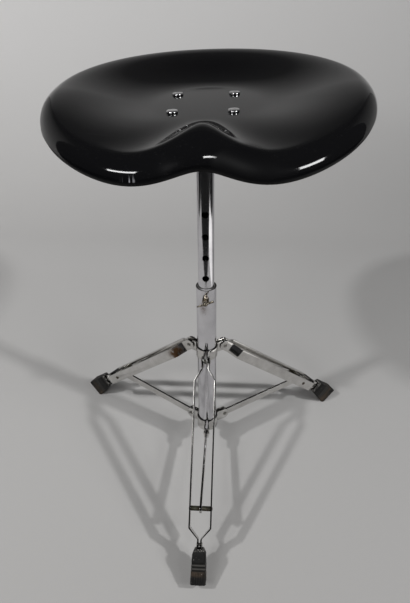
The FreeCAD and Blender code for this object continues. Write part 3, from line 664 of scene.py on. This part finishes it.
def makeSaddle(material):
    thick = saddleSizes["thickness"]
    dish = [i / saddleSizes["dishRings"] for i in range(saddleSizes["dishRings"] + 1)]
    roll = [i / saddleSizes["rollRings"] for i in range(1, saddleSizes["rollRings"] + 1)]
    pad = saddleSizes["padRings"]
    places = [lambda turn, s=s: (saddleSizes["padRadius"] * s, 0) for s in pad]
    places += [lambda turn, s=s: dishPoint(turn, s, 0) for s in dish]
    places += [lambda turn, s=s: rollPoint(turn, s, 0) for s in roll]
    places += [lambda turn: lipPoint(turn, 0), lambda turn: lipPoint(turn, thick)]
    places += [lambda turn, s=s: rollPoint(turn, s, thick) for s in reversed(roll)]
    places += [lambda turn, s=s: dishPoint(turn, s, thick) for s in reversed(dish)]
    places += [lambda turn, s=s: (saddleSizes["padRadius"] * s, -thick) for s in reversed(pad)]
    points = saddleSizes["pointsRound"]
    turns = [2 * math.pi * i / points for i in range(points)]
    lean = Matrix.Rotation(math.radians(-saddleSizes["lean"]), 3, "Y")
    lift = Vector((0, 0, saddleSizes["height"]))
    east, north = saddleSizes["centre"]
    rings = []
    for place in places:
        ring = []
        for turn in turns:
            reach, height = place(turn)
            point = Vector((reach * math.cos(turn) + east, reach * math.sin(turn) + north, height))
            ring.append(lean @ point + lift)
        rings.append(ring)
    # Fitted to the box of the CAD shell, axis by axis.
    low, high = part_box("saddle_shell")
    for axis in range(3):
        least = min(point[axis] for ring in rings for point in ring)
        most = max(point[axis] for ring in rings for point in ring)
        scale = (high[axis] - low[axis]) / (most - least)
        for ring in rings:
            for point in ring:
                point[axis] = low[axis] + (point[axis] - least) * scale
    piece = newObject("saddle_shell_smooth", ringMesh("saddle_shell_smooth", rings, material))
    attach(piece, "saddle")
    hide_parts("saddle_shell")


# Rubber boots

bootSizes = {
    "start": 0.2543,
    "end": 0.2995,
    "endLean": 5.8,
    "mouthHalf": 0.0062,
    "shoulderHalf": 0.0092,
    "endHalf": 0.0105,
    "shoulder": 0.2615,
    "top": 0.0114,
    "mouthTop": 0.0102,
    "under": -0.0105,
    "soleInner": 0.2930,
    "slotHalf": 0.0033,
    "slotHeight": 0.0082,
    "slotDepth": 0.007,
    "slotCorner": 0.0008,
    "lip": 0.0014,
    "lipSteps": 4,
    "round": 0.0022,
    "marksBelowTop": 0.003,
    "marksFade": 0.002,
    "grooves": (0.2722, 0.2767, 0.2812),
    "grooveHalf": 0.0009,
    "grooveDepth": 0.0011,
    "ribStart": 0.2845,
    "ribPitch": 0.0034,
    "ribGapHalf": 0.0007,
    "ribDepth": 0.0010,
    "ribFade": 0.001,
    "ribReach": 2.6,
    "topPoints": 42,
    "sidePoints": 12,
    "stations": 96,
}


def between(share, low, high):
    return low + (high - low) * max(0, min(1, share))


def held(amount, limit):
    return max(-limit, min(limit, amount))


def dip(offset, half):
    # 1 in the middle of a groove, falling smoothly to 0 at its sides.
    return 0.5 + 0.5 * math.cos(math.pi * min(abs(offset) / (half * 1.6), 1))


def boxLoop():
    # Points once round a square from -1 to 1, closest together along its top.
    top, side = bootSizes["topPoints"], bootSizes["sidePoints"]
    loop = [(2 * i / top - 1, 1) for i in range(top)]
    loop += [(1, 1 - 2 * i / side) for i in range(side)]
    loop += [(1 - 2 * i / side, -1) for i in range(side)]
    return loop + [(-1, 2 * i / side - 1) for i in range(side)]


def bootSection(along, shrink=0.0):
    # Points round the boot at a distance along the leg, as (aside, across).
    size = bootSizes
    toShoulder = (along - size["start"]) / (size["shoulder"] - size["start"])
    toEnd = (along - size["shoulder"]) / (size["end"] - size["shoulder"])
    half = between(toShoulder, size["mouthHalf"], size["shoulderHalf"])
    half += between(toEnd, 0, size["endHalf"] - size["shoulderHalf"])
    top = between(toShoulder, size["mouthTop"], size["top"]) - shrink
    slope = math.radians(legSizes["slope"])
    soleAcross = (size["soleInner"] * math.sin(slope) - legSizes["pivotUp"]) / math.cos(slope)
    toSole = (along - size["start"]) / (size["soleInner"] - size["start"])
    under = size["under"] + (soleAcross - size["under"]) * toSole + shrink
    half -= shrink
    middle, tall = (top + under) / 2, (top - under) / 2
    corner = size["round"]
    points = []
    for u, v in boxLoop():
        flat = Vector((u * half, v * tall))
        core = Vector((held(flat.x, half - corner), held(flat.y, tall - corner)))
        reach = flat - core
        if reach.length:
            flat = core + reach.normalized() * min(corner, reach.length)
        points.append((flat.x, flat.y + middle))
    return points, top


def bootMark(along, aside):
    # How deep a groove or a gap between ribs is cut at a place on the boot's top.
    size = bootSizes
    if along > size["ribStart"]:
        offset = (aside / size["ribPitch"] + 0.5) % 1 - 0.5
        depth = dip(offset * size["ribPitch"], size["ribGapHalf"]) * size["ribDepth"]
        depth *= min(1, (along - size["ribStart"]) / size["ribFade"])
        return depth * (abs(aside) < size["ribPitch"] * size["ribReach"])
    return max(dip(along - groove, size["grooveHalf"]) for groove in size["grooves"]) * size["grooveDepth"]


def bootRings(leg):
    size = bootSizes
    lean = math.tan(math.radians(size["endLean"]))
    lip, start, end = size["lip"], size["start"], size["end"]

    def ring(along, shrink=0.0, marks=True):
        section, top = bootSection(along, shrink)
        share = (along - start) / (end - start)
        placed = []
        for aside, across in section:
            onTop = max(0, min(1, (across - top + size["marksBelowTop"]) / size["marksFade"]))
            depth = bootMark(along, aside) if marks else 0
            reach = along - share ** 3 * lean * (size["top"] - across)
            point = legPoint(leg, reach, aside, across - depth * onTop)
            point.z = max(point.z, 0)
            placed.append(point)
        return placed

    def slotRing(along, half, tall):
        placed = []
        for u, v in boxLoop():
            isCorner = min(abs(u), abs(v)) >= 1
            aside = u * (half - size["slotCorner"] if isCorner else half)
            placed.append(legPoint(leg, along, aside, v * tall))
        return placed

    slotHalf, slotTall = size["slotHalf"], size["slotHeight"]
    rings = [slotRing(start + size["slotDepth"], slotHalf, slotTall)]
    rings.append(slotRing(start + lip, slotHalf, slotTall))
    rings.append(slotRing(start + lip / 3, slotHalf + lip / 4, slotTall + lip / 4))
    rings.append(ring(start, lip))
    quarter = [math.pi / 2 * i / size["lipSteps"] for i in range(size["lipSteps"] + 1)]
    for turn in quarter[1:]:
        rings.append(ring(start + lip * (1 - math.cos(turn)), lip * (1 - math.sin(turn)), False))
    for i in range(1, size["stations"]):
        rings.append(ring(start + lip + (end - start - 2 * lip) * i / size["stations"]))
    for i, turn in enumerate(quarter):
        rings.append(ring(end - lip * (1 - math.sin(turn)), lip * (1 - math.cos(turn)), i < 2))
    return rings


def makeBoot(leg, material):
    node = leg + "_foot"
    piece = newObject(node + "_boot", ringMesh(node + "_boot", bootRings(leg), material))
    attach(piece, bodyOf[node])
    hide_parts(node)


# Pieces that repeat round the post, by Geometry Nodes

def ringGroup():
    # Copies of the object's own mesh on a circle round the post, each turned to face outwards.
    group = bpy.data.node_groups.new("ring_of_copies", "GeometryNodeTree")
    for name, kind in (("Geometry", "Geometry"), ("Count", "Int"), ("Radius", "Float"),
                       ("First turn", "Float"), ("Material", "Material")):
        group.interface.new_socket(name, in_out="INPUT", socket_type="NodeSocket" + kind)
    group.interface.new_socket("Geometry", in_out="OUTPUT", socket_type="NodeSocketGeometry")

    def node(kind, **links):
        made = group.nodes.new(kind)
        for name, source in links.items():
            socket = made.inputs[name.replace("_", " ")]
            if isinstance(source, bpy.types.NodeSocket):
                group.links.new(source, socket)
            else:
                socket.default_value = source
        return made

    given = node("NodeGroupInput").outputs
    circle = node("GeometryNodeMeshCircle", Vertices=given["Count"], Radius=given["Radius"])
    index = node("GeometryNodeInputIndex").outputs[0]
    step = node("ShaderNodeMath")
    step.operation = "DIVIDE"
    step.inputs[0].default_value = 2 * math.pi
    group.links.new(given["Count"], step.inputs[1])
    turn = node("ShaderNodeMath")
    turn.operation = "MULTIPLY"
    group.links.new(index, turn.inputs[0])
    group.links.new(step.outputs[0], turn.inputs[1])
    spin = node("ShaderNodeCombineXYZ", Z=turn.outputs[0])
    euler = node("FunctionNodeEulerToRotation", Euler=spin.outputs[0])
    copies = node("GeometryNodeInstanceOnPoints", Points=circle.outputs["Mesh"],
                  Instance=given["Geometry"], Rotation=euler.outputs[0])
    first = node("ShaderNodeCombineXYZ", Z=given["First turn"])
    whole = node("GeometryNodeTransform", Geometry=copies.outputs["Instances"],
                 Rotation=first.outputs[0])
    real = node("GeometryNodeRealizeInstances", Geometry=whole.outputs["Geometry"])
    painted = node("GeometryNodeSetMaterial", Geometry=real.outputs["Geometry"],
                   Material=given["Material"])
    node("NodeGroupOutput", Geometry=painted.outputs["Geometry"])
    return group


def repeated(name, mesh, group, count, radius, firstTurn, material, node, frameOf=None):
    # One object with count copies of the mesh round the post, in place of a CAD node.
    source = newObject(name + "_source", mesh)
    modifier = source.modifiers.new("copies", "NODES")
    modifier.node_group = group
    given = {
        "Count": count,
        "Radius": radius,
        "First turn": math.radians(firstTurn),
        "Material": material,
    }
    for socket in group.interface.items_tree:
        if socket.in_out == "INPUT" and socket.name in given:
            modifier[socket.identifier] = given[socket.name]
    piece = settled(source, name)
    if frameOf:
        piece.data.transform(frameOf)
    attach(piece, bodyOf[node])
    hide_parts(node)
    return piece


rivetSizes = {
    "circles": {"hub_rivets": 0.0286, "collar_rivets": 0.0308},
    "count": 3,
    "firstTurn": -90,
    "points": 36,
    "bore": 0.0011,
    "boreFootShare": 0.8,
    "head": 0.0029,
    "headHeight": 0.0009,
    "headUnderShare": 0.99,
    "rollShare": 0.75,
    "rollSteps": 8,
    "dimple": 0.0010,
    "dimpleTip": 0.00015,
    "shank": 0.0020,
}


def rivetProfile(halfLength):
    # From the dimple at one end, over both rolled heads, to the dimple at the other.
    given = rivetSizes
    bore, head, height = given["bore"], given["head"], given["headHeight"]
    middle, half = (bore + head) / 2, (head - bore) / 2
    roll = height * given["rollShare"]
    floor = halfLength - given["dimple"]
    end = [(given["dimpleTip"], floor), (bore * given["boreFootShare"], floor)]
    for i in range(given["rollSteps"] + 1):
        angle = math.pi * (1 - i / given["rollSteps"])
        end.append((middle + half * math.cos(angle), halfLength - roll + roll * math.sin(angle)))
    end.append((head * given["headUnderShare"], halfLength - height))
    end.append((given["shank"], halfLength - height))
    return end + [(radius, -along) for radius, along in reversed(end)]


def laidAcross(rings):
    # Turns a lathe shape's axis from Z to Y, which is across a leg that points to X.
    return [[Vector((point.x, point.z, -point.y)) for point in ring] for ring in rings]


def makeRivetRings(group, material):
    # The length and the height come from the CAD rivet in front.
    for node, radius in rivetSizes["circles"].items():
        inFront = [v.co for v in nodes[node].data.vertices if v.co.y < -0.6 * radius]
        halfLength = max(abs(point.x) for point in inFront)
        height = sum(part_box(node)[side].z for side in (0, 1)) / 2
        rings = laidAcross(latheRings(rivetProfile(halfLength), rivetSizes["points"]))
        for ring in rings:
            for point in ring:
                point.z += height
        mesh = ringMesh(node, rings, material)
        piece = repeated(node + "_rolled", mesh, group, rivetSizes["count"], radius,
                         rivetSizes["firstTurn"], material, node)


fastenerSizes = {
    "spacing": 0.0668,
    "count": 4,
    "firstTurn": 45,
    "points": 48,
    "headRadius": 0.0064,
    "headHeight": 0.0030,
    "headRound": 0.0009,
    "headSweep": 80,
    "headSteps": 8,
    "crown": 0.0004,
    "shankRadius": 0.0030,
    "washerRadius": 0.0062,
    "washerHole": 0.0033,
    "washerHeight": 0.0016,
    "nutWidth": 0.0100,
    "nutHeight": 0.0050,
    "nutFaceShare": 0.98,
    "nutCornerShare": 1.16,
    "nutChamferShare": 0.16,
    "tail": 0.0024,
    "plate": 0.0030,
    "edge": 0.0003,
}


def domeProfile(radius, height, steps=10):
    # From the rim of a spherical cap to its middle.
    ball = (radius ** 2 + height ** 2) / (2 * height)
    reach = math.asin(radius / ball)
    turns = [reach * (1 - i / steps) for i in range(steps + 1)]
    return [(max(ball * math.sin(t), 1e-5), ball * math.cos(t) - ball + height) for t in turns]


def hexRings(profile, points):
    # Rings of a six-sided piece. Each has the radius of its flats and of the circle that
    # cuts its corners back.
    rings = []
    for radius, roundRadius, height in profile:
        ring = []
        for i in range(points):
            turn = 2 * math.pi * i / points
            flat = radius / math.cos((turn + math.pi / 6) % (math.pi / 3) - math.pi / 6)
            reach = min(flat, roundRadius)
            ring.append(Vector((reach * math.cos(turn), reach * math.sin(turn), height)))
        rings.append(ring)
    return rings


def boltProfile(nutFoot):
    # From the tip of the shank to the middle of the domed head.
    given = fastenerSizes
    shank, edge, head = given["shankRadius"], given["edge"], given["headRadius"]
    tail = nutFoot - given["tail"]
    bolt = [(1e-5, tail), (shank - edge, tail), (shank, tail + edge), (shank, -edge), (shank, 0)]
    bolt += [(head - edge, 0), (head, edge)]
    flatTop, turned = given["headHeight"] - given["crown"], given["headRound"]
    core = head - turned
    for i in range(given["headSteps"] + 1):
        angle = math.radians(given["headSweep"]) * i / given["headSteps"]
        bolt.append((core + turned * math.cos(angle), flatTop - turned + turned * math.sin(angle)))
    return bolt + [(radius, flatTop + height) for radius, height in domeProfile(core, given["crown"])[1:]]


def washerProfile(foot, top):
    # Once round the section, back to its first point.
    edge, wide, hole = (fastenerSizes[name] for name in ("edge", "washerRadius", "washerHole"))
    return [
        (hole, top - edge), (hole, foot + edge), (hole + edge, foot), (wide - edge, foot),
        (wide, foot + edge), (wide, top - edge), (wide - edge, top), (hole + edge, top),
        (hole, top - edge),
    ]


def nutProfile(foot, top):
    flat = fastenerSizes["nutWidth"] / 2
    chamfer = fastenerSizes["nutHeight"] * fastenerSizes["nutChamferShare"]
    face, corner = flat * fastenerSizes["nutFaceShare"], flat * fastenerSizes["nutCornerShare"]
    return [
        (flat, face, foot), (flat, corner, foot + chamfer),
        (flat, corner, top - chamfer), (flat, face, top),
    ]


def makeSaddleFasteners(group):
    # Bolts, washers and nuts stand square to the leaning saddle.
    given = fastenerSizes
    points = given["points"]
    lean = Matrix.Rotation(math.radians(-saddleSizes["lean"]), 4, "Y")
    frameOf = Matrix.Translation((0, 0, saddleSizes["height"])) @ lean
    under = -saddleSizes["thickness"] - given["plate"]
    washerFoot = under - given["washerHeight"]
    nutFoot = washerFoot - given["nutHeight"]
    radius = given["spacing"] / math.sqrt(2)
    for node, rings, look in (
        ("saddle_bolts", latheRings(boltProfile(nutFoot), points), looks["bolt"]),
        ("saddle_washers", latheRings(washerProfile(washerFoot, under), points), looks["plated"]),
        ("saddle_nuts", hexRings(nutProfile(nutFoot, washerFoot), points), looks["plated"]),
    ):
        mesh = ringMesh(node, rings, look, closed=node == "saddle_washers")
        piece = repeated(node + "_turned", mesh, group, given["count"], radius,
                         given["firstTurn"], look, node, frameOf)


# Looks of the CAD pieces

print("scene: materials")
looks = {
    "gloss": glossBlack(),
    "chrome": chrome(),
    "plated": platedSteel("plated_steel", 0),
    "strap": platedSteel("plated_strap", 0.95),
    "rivet": mottledMetal("rivet_steel"),
    "patina": darkPatina(),
    "brass": mottledMetal("brown_brass"),
    "bolt": boltChrome(),
    "rubber": mouldedRubber(),
    "plastic": darkPlastic(),
    "paper": paper(),
    "floor": flatFinish("room_floor"),
    "card": flatFinish("white_card"),
}
kept = {
    "base_tube": "chrome",
    "seat_post": "chrome",
    "post_bushing": "plastic",
    "screw_boss": "brass",
    "stop_ring": "plated",
    "hub_spacers": "rivet",
    "height_screw": "brass",
    "height_screw_bar": "brass",
    "bracket_clamp_screw": "plated",
}
for node, look in kept.items():
    nodes[node].data.materials.clear()
    nodes[node].data.materials.append(looks[look])

print("scene: saddle")
makeSaddle(looks["gloss"])

print("scene: rivets")
copies = ringGroup()
makeRivetRings(copies, looks["rivet"])
makeSaddleFasteners(copies)

print("scene: plates and legs")
widths = roundingSizes["widths"]
for place in ("right", "rear", "left"):
    for part in ("hub", "collar"):
        plate = roundedCopy(f"{part}_plate_{place}", widths["plate"], looks["strap"])
for leg in legTurns:
    for part in ("leg_strap_a", "leg_strap_b", "brace"):
        strap = roundedCopy(f"{leg}_{part}", widths["strap"], looks["strap"])
    roundedCopy(f"{leg}_crossbar", widths["strap"], looks["patina"])
    roundedCopy(f"{leg}_neck_rivet", widths["rivet"], looks["rivet"])
    makeBoot(leg, looks["rubber"])
for part in ("plate", "socket", "clamp_nut"):
    roundedCopy("bracket_" + part, widths["strap"], looks["plated"])


# Floor, backdrop, lamps and camera

stageSizes = {
    "floorFront": -0.51,
    "floorGap": 0.0002,
    "wallBack": 1.25,
    "bend": 0.55,
    "bendSteps": 24,
    "wallTop": 2.5,
    "halfWidth": 0.86,
    "sideTop": 2.2,
    "sideFronts": {"left": (-0.87, 0.04), "right": (0.87, 0.27)},
    "roomReach": 4.0,
    "roomDrop": 0.004,
    "card": (0.50, 0.85, -0.50, 0.12),
    "cardRise": 0.0006,
}


def makeBackdrop(material):
    # A sheet of paper: floor, a wide bend and a back wall.
    given = stageSizes
    bend, steps = given["bend"], given["bendSteps"]
    profile = [(given["floorFront"], -given["floorGap"])]
    for i in range(steps + 1):
        angle = math.radians(-90 + 90 * i / steps)
        y = given["wallBack"] - bend + bend * math.cos(angle)
        profile.append((y, bend - given["floorGap"] + bend * math.sin(angle)))
    profile.append((given["wallBack"], given["wallTop"]))
    shape = bmesh.new()
    sides = (-given["halfWidth"], given["halfWidth"])
    rows = [[shape.verts.new((x, y, z)) for x in sides] for y, z in profile]
    for low, high in zip(rows, rows[1:]):
        shape.faces.new((low[0], low[1], high[1], high[0])).smooth = True
    newObject("backdrop", meshFrom(shape, "backdrop", material))


def makeFlat(name, corners, material):
    shape = bmesh.new()
    shape.faces.new([shape.verts.new(corner) for corner in corners])
    made = newObject(name, meshFrom(shape, name, material))
    return made


def levelCorners(left, right, front, back, height):
    return [(left, front, height), (right, front, height), (right, back, height), (left, back, height)]


def makeRoom():
    given = stageSizes
    reach = given["roomReach"]
    makeFlat("room_floor", levelCorners(-reach, reach, -reach, reach, -given["roomDrop"]), looks["floor"])
    makeFlat("white_card", levelCorners(*given["card"], given["cardRise"]), looks["card"])
    back, top = given["wallBack"], given["sideTop"]
    for side, (x, front) in given["sideFronts"].items():
        corners = [(x, front, 0), (x, back, 0), (x, back, top), (x, front, top)]
        wall = makeFlat(side + "_wall", corners, looks["paper"])
        wall.visible_shadow = False


# The keys and the side lamps light the scene, and the strips are what the saddle's edge mirrors.
lamps = {
    "left_key": {
        "place": (-0.80, -0.85, 1.80), "size": (0.22, 0.22), "watts": 3.0, "shows": False,
    },
    "right_key": {
        "place": (0.95, -0.72, 1.80), "size": (0.22, 0.22), "watts": 3.0, "shows": False,
    },
    "left_side": {
        "place": (-1.243, -0.877, 1.816), "size": (0.10, 0.10), "watts": 25.0, "shows": False,
    },
    "right_side": {
        "place": (1.474, -0.767, 1.662), "size": (0.10, 0.10), "watts": 29.0, "shows": False,
    },
    "left_strip": {
        "place": (-0.627, -1.065, 1.105), "size": (0.72, 0.13), "watts": 6.5, "shows": True,
    },
    "right_strip": {
        "place": (0.97, -0.78, 0.90), "size": (0.42, 0.20), "watts": 5.0, "shows": True,
    },
}
room = {"colour": (0.030, 0.030, 0.032), "aim": (0.0, 0.0, 0.25)}


def makeLamps():
    for name, lamp in lamps.items():
        light = bpy.data.lights.new(name, "AREA")
        light.shape = "RECTANGLE"
        light.size, light.size_y = lamp["size"]
        light.energy = lamp["watts"]
        made = newObject(name, light)
        made.location = lamp["place"]
        towards = Vector(room["aim"]) - made.location
        made.rotation_euler = towards.to_track_quat("-Z", "Y").to_euler()
        made.visible_glossy = lamp["shows"]
    world = bpy.data.worlds.new("studio")
    world.use_nodes = True
    world.node_tree.nodes["Background"].inputs["Color"].default_value = (*room["colour"], 1)
    bpy.context.scene.world = world


cameraSizes = {
    "place": (0.0379, -0.6533, 0.7668),
    "tilt": 54.44,
    "turn": 3.49,
    "roll": -0.61,
    "lens": 34.05,
    "nearest": 0.02,
}


def makeCamera():
    given = cameraSizes
    camera = bpy.data.cameras.new("camera")
    camera.lens = given["lens"]
    camera.clip_start = given["nearest"]
    made = newObject("camera", camera)
    turn, tilt, roll = (
        Matrix.Rotation(math.radians(given[name]), 4, axis)
        for name, axis in (("turn", "Z"), ("tilt", "X"), ("roll", "Z"))
    )
    made.matrix_world = Matrix.Translation(given["place"]) @ (turn @ tilt) @ roll
    bpy.context.scene.camera = made
    bpy.context.scene.view_settings.view_transform = "Standard"


print("scene: stage")
makeBackdrop(looks["paper"])
makeRoom()
makeLamps()
makeCamera()

print("scene: ready")
